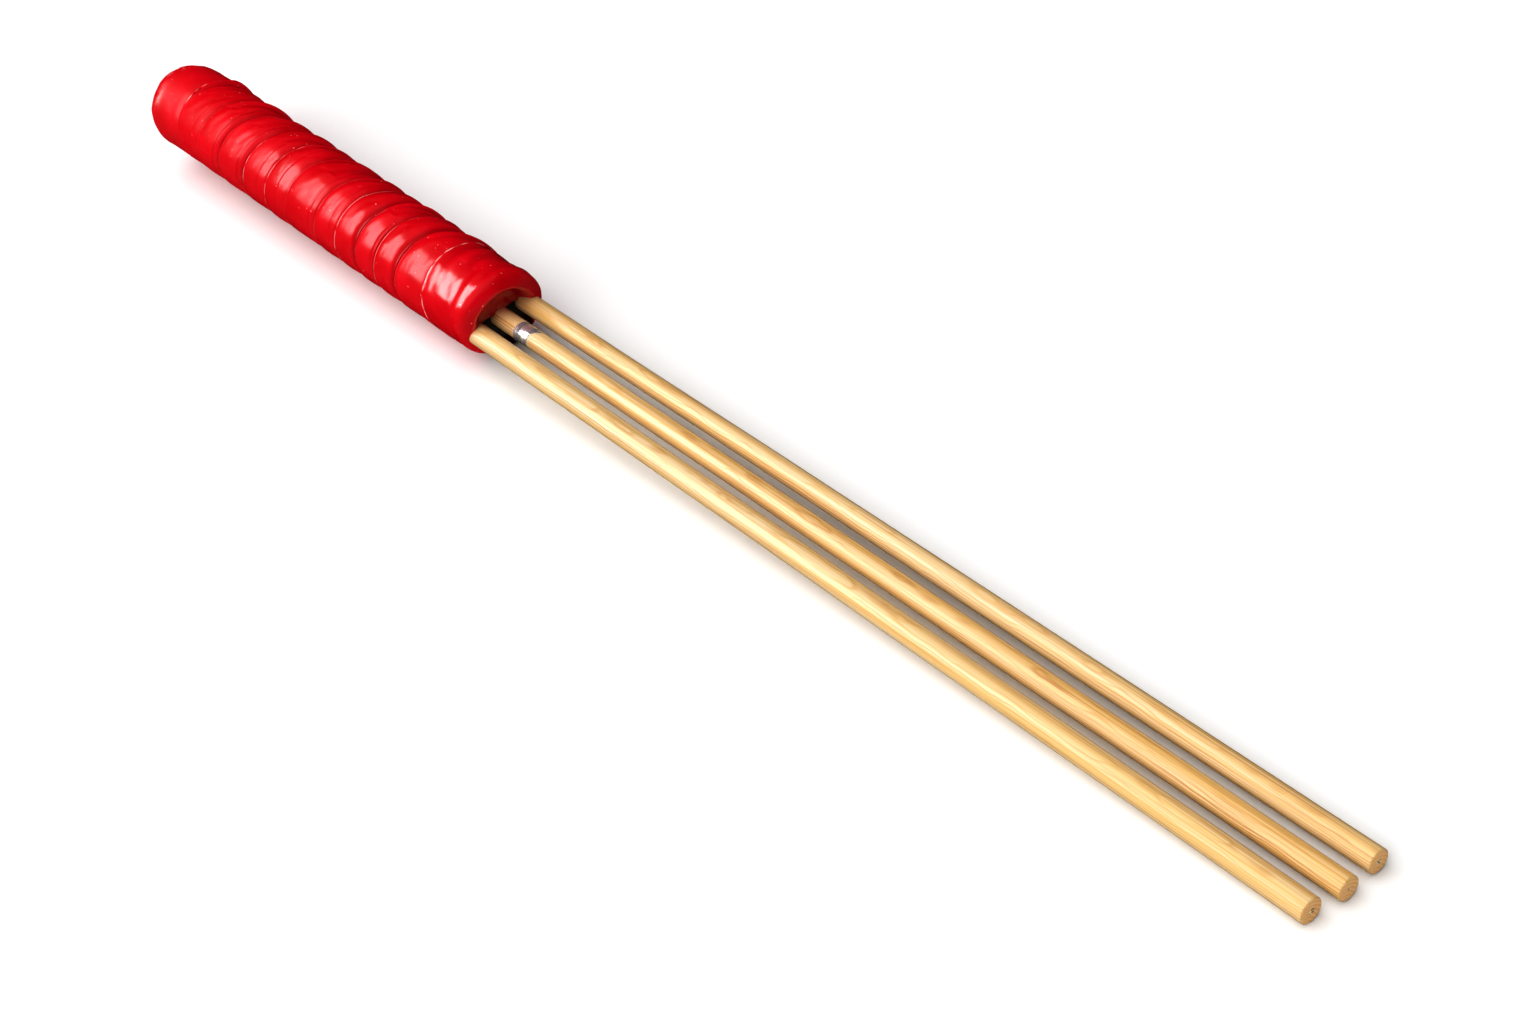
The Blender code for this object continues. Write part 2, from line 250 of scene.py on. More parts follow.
def make_grip_tape():
    """One long strip of tape. Each turn's rear edge lies on the turn behind it."""
    first, last = -1.1, len(TURN_WIDTHS) + 0.2
    steps = int((last - first) * AROUND)
    points, whitening, grime, wear = [], [], [], []
    for step in range(steps + 1):
        turns = first + (last - first) * step / steps
        angle = math.tau * turns + SEAM_ANGLE
        edge, following = edge_x(turns), edge_x(turns + 1)
        width = following - edge
        near = [station * MM for station in EDGE_STATIONS]
        middle = list(np.linspace(near[-1], width - near[-1], MIDDLE_STATIONS + 2)[1:-1])
        # The pale line along each exposed edge is partly pale pulled tape and partly a painted glint.
        patchy = smooth_step(-0.45, 0.10, wobble(turns * 30, 0, 0, 1.0, 6.1))
        white = per_seam(SEAM_PALLOR_AND_GLINT, turns) * patchy
        section = []
        for across in near + middle + [width - station for station in reversed(near)]:
            base, shade_here = tape_base(edge + across, across, width, angle, turns)
            lift = TAPE_THICKNESS * (1 - smooth_step(0.0, 1.0, across / width))
            lip = 0.16 * MM * dent(across - 0.2 * MM, 0.32 * MM)
            rounding = 0.5 * TAPE_THICKNESS * dent(across, 0.08 * MM)
            pale = white * dent(across - 0.1 * MM, (0.2 + 0.2 * white) * MM)
            section.append((across, base + lift + lip - rounding, pale, shade_here * (1 - pale)))
        next_width = edge_x(turns + 2) - following
        for tuck in (0.15, 0.5, 1.0):
            across = width + tuck * TAPE_TUCK
            under, shade_here = tape_base(edge + across, across - width, next_width, angle, turns + 1)
            section.append((across, under - 0.3 * TAPE_THICKNESS, 0.0, shade_here))
        underside = [(across, radius - TAPE_THICKNESS) for across, radius, _, _ in reversed(section[3::4])]
        underside.append((0.02 * MM, section[0][1] - 0.5 * TAPE_THICKNESS))
        section += [(across, radius, 0.0, 0.0) for across, radius in underside]
        for across, radius, white_here, shade_here in section:
            x = min(max(edge + across, CAP_FRONT_X - TAPE_OVERRUN), COLLAR_REAR_X + TAPE_OVERRUN)
            points.append(on_grip(x, angle, radius - COVERED_DROP * under_cover(edge + across)))
            whitening.append(white_here)
            grime.append(shade_here)
            wear.append(1 - smooth_step(CAP_FRONT_X + FULLY_WORN_LENGTH, CAP_FRONT_X + WORN_LENGTH, x))
    columns = len(section)
    faces = grid_faces(steps + 1, columns)
    faces.append(tuple(range(columns)))
    faces.append(tuple(range(steps * columns, (steps + 1) * columns))[::-1])
    return outward(add_mesh("tape_winding", points, faces, whitening=whitening, grime=grime, wear=wear))


# ---------------------------------------------------------------- collar and cap

# The collar's shoulder rounds inwards to a lip.
SHOULDER_LENGTH = 6.0 * MM
SHOULDER_DROP = 3.7 * MM
SHOULDER_CURVE = 3.2
# The lip stands out from the mouth by LIP_REACH, and by up to LIP_SLANT more or less round it.
LIP_REACH = 3.0 * MM
LIP_SLANT = 3.6 * MM
LIP_SLANT_ANGLE = math.radians(25)
LIP_TURN = 2.0 * MM
# From the lip the tape slopes down to a face that is sunk behind the mouth.
FACE_EDGE = 3.4 * MM
FACE_DEPTH = 0.9 * MM
DEEPEST_FACE = 1.15 * MM
SHELL_THICKNESS = 0.3 * MM
# A slot in the face, lower than the row of rods by SLOT_DROP. The near-black foam behind it shows
# through as painted shade between the rods.
SLOT_WIDTH = 17 * MM
SLOT_HEIGHT = 12 * MM
SLOT_DROP = 3.0 * MM


def rod_line(node):
    """(inner end, tip, radius) of a rod's centre line, from its box. The rods spread to their tips."""
    low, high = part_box(node)
    radius = (high.z - low.z) / 2
    z = (low.z + high.z) / 2
    if low.y > AXIS_Y:
        y_in, y_tip = low.y + radius, high.y - radius
    elif high.y < AXIS_Y:
        y_in, y_tip = high.y - radius, low.y + radius
    else:
        y_in = y_tip = (low.y + high.y) / 2
    return Vector((low.x, y_in, z)), Vector((high.x, y_tip, z)), radius


ROD_LINES = {node: rod_line(node) for node in ROD_NODES}


def rod_distance(y, z):
    """Distance in the mouth's plane to the nearest rod's surface."""
    best = 1.0
    for inner, tip, radius in ROD_LINES.values():
        share = (MOUTH_X - inner.x) / (tip.x - inner.x)
        centre = inner.lerp(tip, share)
        best = min(best, math.hypot(y - centre.y, z - centre.z) - radius)
    return best


def collar_outline():
    """(stage, share) rows: 0 edge, 1 sleeve, 2 shoulder, 3 turned-in lip, 4 slope to the face, 5 face."""
    rows = [(0, station * MM) for station in EDGE_STATIONS]
    rows += [(1, step / 34) for step in range(1, 35)]
    rows += [(2, step / 12) for step in range(1, 13)]
    rows += [(3, step / 5) for step in range(1, 6)]
    rows += [(4, step / 8) for step in range(1, 9)]
    return rows + [(5, step / 30) for step in range(1, 30)]


def collar_point(stage, share, angle):
    """(x, radius, shoulder) of the collar's smooth shape."""
    lip_radius = MOUTH_RADIUS - SHOULDER_DROP
    lip_x = MOUTH_X + LIP_REACH + LIP_SLANT * math.cos(angle - LIP_SLANT_ANGLE)
    face_x = MOUTH_X - FACE_DEPTH
    sleeve_start = COLLAR_REAR_X + EDGE_STATIONS[-1] * MM
    sleeve_end = lip_x - SHOULDER_LENGTH
    if stage == 0:
        return COLLAR_REAR_X + share, grip_radius(COLLAR_REAR_X + share), 0.0
    if stage == 1:
        x = sleeve_start + (sleeve_end - sleeve_start) * share
        return x, grip_radius(min(x, MOUTH_X)), 0.0
    if stage == 2:
        radius = MOUTH_RADIUS - SHOULDER_DROP * share**SHOULDER_CURVE
        return sleeve_end + SHOULDER_LENGTH * share, radius, share
    if stage == 3:
        turn = math.pi / 2 * share
        return lip_x + 0.25 * LIP_TURN * math.sin(2 * turn), lip_radius - LIP_TURN * math.sin(turn), 1.0
    if stage == 4:
        x = lip_x + (face_x - lip_x) * smooth_step(0, 1, share)
        return x, lip_radius - LIP_TURN - FACE_EDGE * share, 1.0
    return face_x, (lip_radius - LIP_TURN - FACE_EDGE) * (1 - share), 1.0


def make_front_collar():
    """The last wide turn: a sleeve, a shoulder, a slanting lip and the sunk face that the rods leave."""
    points, whitening, grime = [], [], []
    outline = collar_outline()
    between_rods = ROD_LINES["rod_back"][0].y - AXIS_Y
    below_rods = ROD_LINES["rod_middle"][0].z - ROD_LINES["rod_middle"][2] - AXIS_Z
    for stage, share in outline:
        for column in range(AROUND):
            angle = math.tau * column / AROUND
            x, reach, shoulder = collar_point(stage, share, angle)
            y, z = reach * math.sin(angle), reach * math.cos(angle)
            edge = x - COLLAR_REAR_X
            outside = 1.0 if stage < 3 else 0.35
            ripple = 0.16 * wobble(x, y, z, 5.5 * MM, 1.7) + 0.3 * wobble(x, y, z, 17 * MM, 4.2)
            ripple += 0.035 * wobble(x, y, z, 1.8 * MM, 12.4)
            fold = 0.7 * wobble(edge + 0.2 * reach * angle, y * 0.2, z * 0.2, 4.5 * MM, 6.6)
            fold -= 0.8 * dent(edge - 15 * MM, 3.5 * MM) + 0.6 * dent(edge - 5 * MM, 2.5 * MM)
            waist = 0.2 * dent(edge - 23.5 * MM, 2 * MM) - 0.12 * dent(edge - 20 * MM, 1.8 * MM)
            lip = 0.16 * dent(edge - 0.2 * MM, 0.35 * MM) - 0.15 * dent(edge, 2.0 * MM)
            out = (ripple + waist + fold * loose_side(angle)) * outside + lip
            crumple = 0.3 * wobble(0, y, z, 5 * MM, 8.3) * shoulder
            crumple += 0.3 * wobble(x, y, z, 2.4 * MM, 3.9) * (stage > 3)
            hug = 0.4 * dent(max(rod_distance(y, z + AXIS_Z), 0.0), 1.3 * MM) * (stage > 3)
            wander = 0.2 * wobble(0, y, z, 6 * MM, 3.3) * dent(edge, 4 * MM)
            deepest_x = MOUTH_X - DEEPEST_FACE if stage > 3 else x - MM
            x_out = max(x + (crumple + hug + wander) * MM, deepest_x)
            points.append(on_grip(x_out, angle, reach + out * MM * (stage < 5)))
            # A pale line along the collar's rear edge: partly pale pulled tape, partly a painted glint.
            patchy = smooth_step(-0.3, 0.15, wobble(0, y, z, 3.0 * MM, 9.1))
            whitening.append(patchy * dent(edge - 0.15 * MM, 0.3 * MM))
            # Painted shade: the face and lip below and between the rods, where the rods and the collar
            # shade them, are darkened, and so are the folds' valleys on the sleeve's loose side.
            shade_here = smooth_step(0.0, 1.5 * MM, below_rods + 2 * MM - z)
            shade_here *= smooth_step(0.0, 1.0 * MM, between_rods - abs(y)) * smooth_step(0.0, 0.25, shoulder)
            grime.append(shade_here + 0.5 * loose_side(angle) * max(-fold, 0.0) * (stage < 2))
    points.append(on_grip(MOUTH_X - FACE_DEPTH, 0.0, 0.0))
    whitening.append(0.0)
    grime.append(0.0)
    faces = shell_faces(len(outline))
    collar = outward(add_mesh("collar_tape", points, faces, whitening=whitening, grime=grime))
    thicken(collar, SHELL_THICKNESS)
    cut_slot(collar)
    return collar


def shell_faces(rows):
    """Faces of a shell of AROUND columns that is closed at its last row by one centre point."""
    faces = grid_faces(rows, AROUND)
    centre = rows * AROUND
    for column in range(AROUND):
        faces.append((centre - AROUND + column, centre - AROUND + (column + 1) % AROUND, centre))
    return faces


def thicken(obj, thickness):
    """Gives a skin its thickness, inwards."""
    wall = obj.modifiers.new("wall", "SOLIDIFY")
    wall.thickness = thickness
    wall.offset = -1.0


def cut_slot(collar):
    """Opens the face between the rods, so that the near-black foam inside shows as painted shade there, and
    paints shade on the cut's border.
    """
    row_z = ROD_LINES["rod_middle"][0].z
    bm = bmesh.new()
    bmesh.ops.create_cube(bm, size=1.0)
    size = Vector((2 * SLOT_HEIGHT, SLOT_WIDTH, SLOT_HEIGHT))
    bmesh.ops.transform(bm, matrix=Matrix.Diagonal((*size, 1)), verts=bm.verts)
    middle = Vector((MOUTH_X, AXIS_Y, row_z - SLOT_DROP))
    bmesh.ops.translate(bm, vec=middle, verts=bm.verts)
    mesh = bpy.data.meshes.new("slot_cutter")
    bm.to_mesh(mesh)
    bm.free()
    cutter = bpy.data.objects.new("slot_cutter", mesh)
    cut = collar.modifiers.new("slot", "BOOLEAN")
    cut.operation, cut.solver, cut.object = "DIFFERENCE", "EXACT", cutter
    bpy.context.scene.collection.objects.link(cutter)
    bpy.context.view_layer.update()
    evaluated = collar.evaluated_get(bpy.context.evaluated_depsgraph_get())
    collar.data = bpy.data.meshes.new_from_object(evaluated)
    collar.modifiers.clear()
    bpy.data.objects.remove(cutter)
    shade_here = collar.data.attributes["grime"].data
    for vertex in collar.data.vertices:
        offset = vertex.co - middle
        beyond = max(abs(offset.y) - SLOT_WIDTH / 2, abs(offset.z) - SLOT_HEIGHT / 2)
        if beyond < 0.01 * MM and abs(offset.x) < SLOT_HEIGHT:
            shade_here[vertex.index].value = 1.0


# The butt's rounded corner is deepest towards CORNER_ANGLE and most inset towards INSET_ANGLE.
CORNER_DEPTH, CORNER_DEPTH_CHANGE = 13.5 * MM, 3.5 * MM
CORNER_INSET, CORNER_INSET_CHANGE = 6.3 * MM, 1.2 * MM
CORNER_ANGLE = math.radians(40)
INSET_ANGLE = math.radians(-130)
CAP_DOME = 1.2 * MM
BUTT_SLANT = 0.7 * MM
BUTT_SLANT_ANGLE = math.radians(-125)
# A low crest runs round the cap. It bulges most, and is glossy, at one place.
CAP_CREST = 9.5 * MM
GLOSSY_ANGLE = math.radians(-41)


def cap_outline():
    """(stage, share) rows: 0 edge, 1 sleeve, 2 rounded corner, 3 end."""
    rows = [(0, station * MM) for station in EDGE_STATIONS]
    rows += [(1, step / 24) for step in range(1, 25)]
    rows += [(2, step / 32) for step in range(1, 33)]
    return rows + [(3, step / 30) for step in range(1, 30)]


def cap_point(stage, share, angle):
    """(x, radius, turned) of the cap's smooth shape."""
    depth = CORNER_DEPTH + CORNER_DEPTH_CHANGE * math.cos(angle - CORNER_ANGLE)
    inset = CORNER_INSET + CORNER_INSET_CHANGE * math.cos(angle - INSET_ANGLE)
    edge_end = CAP_FRONT_X - EDGE_STATIONS[-1] * MM
    if stage == 0:
        return CAP_FRONT_X - share, grip_radius(CAP_FRONT_X - share), 0.0
    if stage == 1:
        x = edge_end + (BUTT_X + depth - edge_end) * share
        return x, grip_radius(x), 0.0
    if stage == 2:
        turn = math.pi / 2 * share
        x = BUTT_X + depth - (depth - CAP_DOME) * math.sin(turn)
        return x, BUTT_RADIUS - inset * (1 - math.cos(turn)), share
    return BUTT_X + CAP_DOME * smooth_step(0.55, 1.0, 1 - share), (BUTT_RADIUS - inset) * (1 - share), 1.0


def make_butt_cap():
    """Tape folded over the butt, with its folds gathered round the end."""
    outline = cap_outline()
    points, whitening, grime, wear = [], [], [], []
    for stage, share in outline:
        for column in range(AROUND):
            angle = math.tau * column / AROUND
            x, radius, turned = cap_point(stage, share, angle)
            y, z = math.sin(angle), math.cos(angle)
            edge = CAP_FRONT_X - x
            place = (x, y * radius, z * radius)
            ripple = 0.14 * wobble(*place, 7 * MM, 2.9) + 0.3 * wobble(*place, 20 * MM, 6.4)
            from_gloss = (angle - GLOSSY_ANGLE + math.pi) % math.tau - math.pi
            ripple += (0.25 + 0.5 * dent(from_gloss, 0.7)) * dent(x - BUTT_X - CAP_CREST, 3.5 * MM)
            pleat = 0.4 + 0.6 * wobble(0, y * BUTT_RADIUS, z * BUTT_RADIUS, 3.8 * MM, 11.0)
            corner = dent(turned - 0.5, 0.22) * min(radius / (6 * MM), 1.0)
            lip = 0.14 * dent(edge - 0.2 * MM, 0.35 * MM) - 0.5 * dent(edge, 2.5 * MM)
            slope = turned * math.pi / 2
            out = (ripple + lip - 1.5 * pleat * corner - 0.05) * MM
            wander = 0.2 * MM * wobble(0, y * radius, z * radius, 6 * MM, 5.3) * dent(edge, 4 * MM)
            slant = BUTT_SLANT * turned * radius / BUTT_RADIUS * math.cos(angle - BUTT_SLANT_ANGLE)
            x_out = x + wander - slant - out * math.sin(slope) * 0.6
            points.append(on_grip(x_out, angle, radius + out * math.cos(slope)))
            patchy = smooth_step(-0.4, 0.1, wobble(0, y * radius, z * radius, 3.0 * MM, 2.1))
            # Painted glints: pale streaks on the pleats round the corner. The pale line along the cap's
            # front edge is partly pale pulled tape and partly a painted glint.
            pleat_glints = smooth_step(0.2, 0.4, wobble(*place, 2.2 * MM, 4.7)) * corner
            edge_whitening = 0.9 * patchy * dent(edge - 0.15 * MM, 0.35 * MM)
            whitening.append(max(edge_whitening, 0.45 * pleat_glints))
            # Painted shade in the pleats' valleys round the corner.
            grime.append(min(0.9 * smooth_step(0.6, 0.95, pleat) * corner, 1.0))
            wear.append(1 - dent(x - BUTT_X - CAP_CREST - 2 * MM, 3 * MM) * dent(from_gloss, 0.22))
    points.append(on_grip(BUTT_X, 0.0, 0.0))
    whitening.append(0.0)
    grime.append(0.0)
    wear.append(1.0)
    faces = shell_faces(len(outline))
    cap = outward(add_mesh("cap_tape", points, faces, whitening=whitening, grime=grime, wear=wear))
    thicken(cap, SHELL_THICKNESS)
    return cap


# ---------------------------------------------------------------- rods and foil

ROD_AROUND = 56
ROD_RING_SPACING = 4 * MM
ROD_END_ROUNDING = 0.5 * MM
# How far a rod strays from straight and, as shares of its radius, from even and from round
ROD_SWAY_Y, ROD_SWAY_Z = 0.16 * MM, 0.12 * MM
ROD_SWELL = 0.008
ROD_OUT_OF_ROUND = 0.006


def make_rod(node, seed):
    """A turned wooden rod, very slightly uneven along its length, with its ends eased."""
    inner, tip, radius = ROD_LINES[node]
    length = tip.x - inner.x
    rings = int(length / ROD_RING_SPACING)
    points = []
    profile = [(0.0, 0.35), (0.0, 0.7), (0.0, 1 - ROD_END_ROUNDING / radius)]
    for step in range(1, 5):
        turn = math.pi / 2 * step / 4
        profile.append((ROD_END_ROUNDING * (1 - math.cos(turn)),
                        1 - ROD_END_ROUNDING / radius * (1 - math.sin(turn))))
    body = [(length * ring / rings, 1.0) for ring in range(1, rings)]
    profile = profile + body + [(length - place, size) for place, size in reversed(profile)]
    for place, size in profile:
        centre = inner.lerp(tip, place / length)
        sway_y = ROD_SWAY_Y * wobble(place, 0, 0, 90 * MM, seed)
        sway_z = ROD_SWAY_Z * wobble(place, 0, 0, 110 * MM, seed + 40)
        swell = 1 + ROD_SWELL * wobble(place, 0, 0, 45 * MM, seed + 80)
        for column in range(ROD_AROUND):
            angle = math.tau * column / ROD_AROUND
            across, up = math.sin(angle), math.cos(angle)
            uneven = wobble(place * 0.25, across * 9 * MM, up * 9 * MM, 9 * MM, seed)
            reach = radius * size * swell * (1 + ROD_OUT_OF_ROUND * uneven)
            points.append((centre.x, centre.y + sway_y + reach * across, centre.z + sway_z + reach * up))
    rows = len(profile)
    faces = grid_faces(rows, ROD_AROUND)
    for row, end in ((0, inner), (rows - 1, tip)):
        points.append((end.x, end.y, end.z))
        hub = len(points) - 1
        for column in range(ROD_AROUND):
            faces.append((row * ROD_AROUND + column, row * ROD_AROUND + (column + 1) % ROD_AROUND, hub))
    return outward(add_mesh(node.replace("rod_", "wood_"), points, faces))


# The sticker sits askew, and its front edge runs out to a tail on one side.
FOIL_SLANT = 0.5 * MM
FOIL_TAIL = 3.4 * MM
FOIL_TAIL_ANGLE = math.radians(20)
FOIL_ROWS, FOIL_AROUND = 30, 72
FOIL_THICKNESS = 0.04 * MM
FILM_BEHIND, FILM_AHEAD = 0.7 * MM, 1.4 * MM


def make_foil():
    """A crinkled foil sticker wrapped once around the middle rod, under a slightly wider clear film."""
    low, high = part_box("foil_band")
    inner, _, radius = ROD_LINES["rod_middle"]
    layers = (
        ("foil_sticker", low.x, high.x, 0.10 * MM),
        ("foil_film", low.x - FILM_BEHIND, high.x + FILM_AHEAD, 0.16 * MM),
    )
    pieces = []
    for name, first, last, lift in layers:
        points = []
        for row in range(FOIL_ROWS):
            for column in range(FOIL_AROUND):
                angle = math.tau * column / FOIL_AROUND
                across, up = math.sin(angle), math.cos(angle)
                share = row / (FOIL_ROWS - 1)
                tail = FOIL_TAIL * max(math.sin(angle + FOIL_TAIL_ANGLE), 0.0) * share
                x = first + (last - first) * share + FOIL_SLANT * across + tail
                crease = 0.03 * MM * wobble(x, across * radius, up * radius, 1.5 * MM, 12.0)
                reach = radius * 1.004 + lift + crease
                points.append((x, inner.y + reach * across, inner.z + reach * up))
        piece = outward(add_mesh(name, points, grid_faces(FOIL_ROWS, FOIL_AROUND)))
        thicken(piece, FOIL_THICKNESS)
        pieces.append(piece)
    return pieces


# ---------------------------------------------------------------- materials


class Nodes:
    """Short forms for building one material's node tree."""

    def __init__(self, name):
        self.material = bpy.data.materials.new(name)
        self.material.use_nodes = True
        self.tree = self.material.node_tree
        self.shader = self.tree.nodes["Principled BSDF"]

    def add(self, kind, **values):
        node = self.tree.nodes.new(kind)
        for key, value in values.items():
            if hasattr(node, key):
                setattr(node, key, value)
            else:
                node.inputs[key.replace("_", " ").title()].default_value = value
        return node

    def link(self, source, target):
        self.tree.links.new(source, target)

    def place(self, scale, offset=(0, 0, 0), source="Object"):
        coordinates = self.add("ShaderNodeTexCoord")
        mapping = self.add("ShaderNodeMapping")
        mapping.inputs["Scale"].default_value = scale
        mapping.inputs["Location"].default_value = offset
        self.link(coordinates.outputs[source], mapping.inputs["Vector"])
        return mapping.outputs["Vector"]

    def noise(self, vector, scale, detail=3.0, roughness=0.5, distortion=0.0):
        node = self.add("ShaderNodeTexNoise")
        self.link(vector, node.inputs["Vector"])
        values = {"Scale": scale, "Detail": detail, "Roughness": roughness, "Distortion": distortion}
        for key, value in values.items():
            node.inputs[key].default_value = value
        return node.outputs["Fac"]

    def attribute(self, name):
        return self.add("ShaderNodeAttribute", attribute_name=name).outputs["Fac"]

    def ramp(self, source, *stops):
        """stops are (position, colour) pairs; a colour may be one grey value."""
        node = self.add("ShaderNodeValToRGB")
        ramp = node.color_ramp
        while len(ramp.elements) < len(stops):
            ramp.elements.new(0.5)
        for element, (position, colour) in zip(ramp.elements, stops):
            element.position = position
            element.color = (colour,) * 3 + (1,) if isinstance(colour, float) else (*colour, 1)
        self.link(source, node.inputs["Fac"])
        return node.outputs["Color"]

    def mix(self, factor, first, second, blend="MIX"):
        node = self.add("ShaderNodeMix", data_type="RGBA", blend_type=blend)
        for name, value in (("Factor", factor), ("A", first), ("B", second)):
            same_name = [s for s in node.inputs if s.name == name]
            target = next(s for s in same_name if name == "Factor" or s.type == "RGBA")
            if isinstance(value, (tuple, float, int)):
                target.default_value = value if isinstance(value, (float, int)) else (*value, 1)
            else:
                self.link(value, target)
        return next(s for s in node.outputs if s.type == "RGBA")

    def bump(self, height, distance, strength=1.0, under=None):
        node = self.add("ShaderNodeBump")
        node.inputs["Strength"].default_value = strength
        node.inputs["Distance"].default_value = distance
        self.link(height, node.inputs["Height"])
        if under:
            self.link(under, node.inputs["Normal"])
        return node.outputs["Normal"]

    def finish(self, **sockets):
        for key, value in sockets.items():
            target = self.shader.inputs[key.replace("_", " ")]
            if isinstance(value, (float, int, tuple)):
                target.default_value = value
            else:
                self.link(value, target)
        return self.material


# The first two reds are the tape's own colours. The next three are painted glint specks, the painted shade
# in creases and folds, and the pale edge lines, which are partly pale pulled tape and partly painted
# glints.
TAPE_RED, TAPE_LIGHT_RED = (0.58, 0.0006, 0.006), (0.71, 0.0008, 0.012)
TAPE_GLINT_SPECK, TAPE_SHADE_COLOUR, TAPE_PALLOR_AND_GLINT = (1.0, 0.35, 0.35), (0.02, 0.0, 0.0), (1.0, 0.62, 0.60)
WORN_ROUGHNESS = 0.34
WORN_SHINE = 0.2


def tape_material(name, roughness, shine):
    """Glossy red adhesive tape, dull where worn. Its pale edge lines are partly pale pulled tape and partly
    painted glints, its small pale specks are painted glints, and its creases and folds carry painted shade.
    """
    n = Nodes(name)
    cloud = n.noise(n.place((60, 60, 60)), 1.0, 3.0)
    fine = n.noise(n.place((420, 420, 420)), 1.0, 4.0, 0.6)
    grain = n.noise(n.place((2600, 2600, 2600)), 1.0, 2.0)
    specks = n.noise(n.place((700, 700, 700), (3.3, 1.1, 0.4)), 1.0, 1.0)
    colour = n.ramp(cloud, (0.3, TAPE_RED), (0.7, TAPE_LIGHT_RED))
    # Painted glints: a few small pale specks, where tiny bumps would catch the light.
    colour = n.mix(n.ramp(specks, (0.75, 0.0), (0.79, 0.7)), colour, TAPE_GLINT_SPECK)
    # Painted shade in the creases and folds, which also loses its shine there.
    colour = n.mix(n.attribute("grime"), colour, TAPE_SHADE_COLOUR)
    # Pale edge lines: partly pale pulled tape, partly painted glints.
    colour = n.mix(n.attribute("whitening"), colour, TAPE_PALLOR_AND_GLINT)
    patches = n.ramp(cloud, (0.25, roughness), (0.75, roughness + 0.09))
    roughness = n.mix(n.attribute("wear"), patches, (WORN_ROUGHNESS,) * 3)
    gloss = n.mix(n.attribute("wear"), (shine,) * 3, (WORN_SHINE * shine,) * 3)
    gloss = n.mix(n.attribute("grime"), gloss, (0.0, 0.0, 0.0))
    normal = n.bump(fine, 0.00006, 0.2)
    normal = n.bump(grain, 0.00001, 0.25, normal)
    return n.finish(
        Base_Color=colour, Roughness=roughness, Normal=normal, Specular_IOR_Level=gloss, IOR=1.5,
    )


# The rods were cut this far above the tree's heart, so their sides show more lines than their tops.
HEART_DEPTH = 22 * MM
# At the tips the rings are drawn round a nearer heart, so that they show as curves.
END_HEART = Vector((0, 2.5 * MM, 4 * MM))
GRAIN_WARP, END_WARP = 0.0024, 0.0006
GRAIN_RINGS, END_RINGS = 400.0, 260.0


def grain_vector(n, seed, warp, heart):
    """Coordinates stretched along the rod and centred on the tree's heart, with the grain made wavy."""
    vector = n.place((0.045, 1, 1), (seed * 0.013, -heart.y, -heart.z))
    drift = n.add("ShaderNodeTexNoise")
    n.link(n.place((42, 110, 110), (seed, 0, 0)), drift.inputs["Vector"])
    drift.inputs["Scale"].default_value = 1.0
    drift.inputs["Detail"].default_value = 2.0
    shift = n.add("ShaderNodeVectorMath", operation="MULTIPLY_ADD")
    n.link(drift.outputs["Color"], shift.inputs[0])
    shift.inputs[1].default_value = (0, warp, warp)
    n.link(vector, shift.inputs[2])
    return shift.outputs["Vector"]


def ring_lines(n, vector, scale):
    """The tree's growth rings, as a sawtooth from 0 to 1 across each."""
    rings = n.add("ShaderNodeTexWave", wave_type="RINGS", rings_direction="X", wave_profile="SAW")
    n.link(vector, rings.inputs["Vector"])
    for key, value in (("Scale", scale), ("Distortion", 1.2), ("Detail", 2.0), ("Detail Scale", 400.0)):
        rings.inputs[key].default_value = value
    return rings.outputs["Fac"]


def wood_material(name, rod_line, seed, light, middle, dark, line_strength):
    """Varnished wood with wavy grain lines along X. Each rod has its own seed and strength of lines."""
    n = Nodes(name)
    offset = (seed * 3.1, seed * 1.7, seed * 2.3)
    inner, tip, radius = rod_line
    vector = grain_vector(n, seed, GRAIN_WARP, inner.lerp(tip, 0.7) - Vector((0, 0, HEART_DEPTH)))
    rings = ring_lines(n, vector, GRAIN_RINGS)
    broad = n.noise(n.place((5, 620, 620), offset), 1.0, 3.0, 0.5, 0.3)
    fine = n.noise(n.place((14, 2300, 2300), offset), 1.0, 4.0, 0.6, 0.4)
    where = n.noise(n.place((9, 160, 160), (seed * 5.3, seed, 0)), 1.0, 2.0)
    height = n.add("ShaderNodeSeparateXYZ")
    n.link(n.place((1, 1, 1 / (2 * radius)), (0, 0, 0.5 - inner.z / (2 * radius))), height.inputs["Vector"])
    colour = n.mix(n.ramp(broad, (0.34, 0.0), (0.66, 1.0)), middle, light)
    colour = n.mix(n.ramp(rings, (0.55, 0.0), (0.97, 0.55), (1.0, 0.0)), colour, middle)
    line = n.ramp(rings, (0.60, 0.0), (0.88, line_strength), (0.99, 0.0))
    line = n.mix(n.ramp(where, (0.40, 0.15), (0.60, 1.0)), (0, 0, 0), line)
    # Painted highlight: the grain lines fade along each rod's top, where the sheen would wash them out.
    line = n.mix(n.ramp(height.outputs["Z"], (0.82, 0.0), (0.98, 0.55)), line, (0, 0, 0))
    colour = n.mix(line, colour, dark)
    colour = n.mix(n.ramp(fine, (0.32, 0.6), (0.50, 0.0)), colour, dark)
    normal = n.bump(fine, 0.00002, 0.35)
    return n.finish(
        Base_Color=colour, Roughness=0.45, Normal=normal, Coat_Weight=0.9, Coat_Roughness=0.26,
        Specular_IOR_Level=0.2, IOR=1.48,
    )


END_LIGHT, END_DARK, END_PORE = (0.97, 0.60, 0.26), (0.82, 0.45, 0.16), (0.55, 0.28, 0.09)
PITH_DARK, PITH_PALE = (0.26, 0.12, 0.04), (0.98, 0.80, 0.50)


